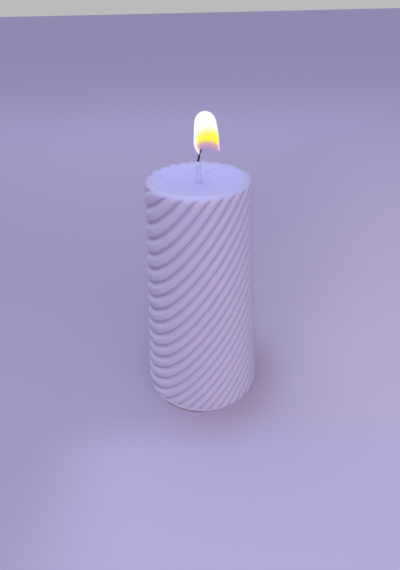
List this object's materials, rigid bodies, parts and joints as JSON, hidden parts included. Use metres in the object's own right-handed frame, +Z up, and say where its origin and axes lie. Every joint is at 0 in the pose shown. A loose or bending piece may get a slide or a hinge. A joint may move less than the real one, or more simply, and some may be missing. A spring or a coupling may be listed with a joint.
{
  "type": "spiral pillar candle",
  "caption": "Tapering wax pillar wound with raised spiral ribs, with a wax-coated cotton wick that leans at its charred tip and a metal tab in the base.",
  "frame": {"origin": "centre of the flat base, on the surface that the candle stands on", "axes": "+Z up the pillar and along the wick, -Y towards the side seen in the picture, +X to the right of that side"},
  "size_m": [0.0596, 0.0596, 0.1211],
  "materials": {
    "wax": "smooth lilac candle wax with a soft sheen, slightly translucent",
    "wick_cotton": "braided cotton, charred black at the tip",
    "coat_wax": "thin whitish wax film, semi-gloss",
    "tab_metal": "thin tinned steel"
  },
  "bodies": {
    "root": {"wax_body": "wax", "wick": "wick_cotton", "wick_wax_coat": "coat_wax", "wick_tab": "tab_metal"}
  },
  "joints": []
}
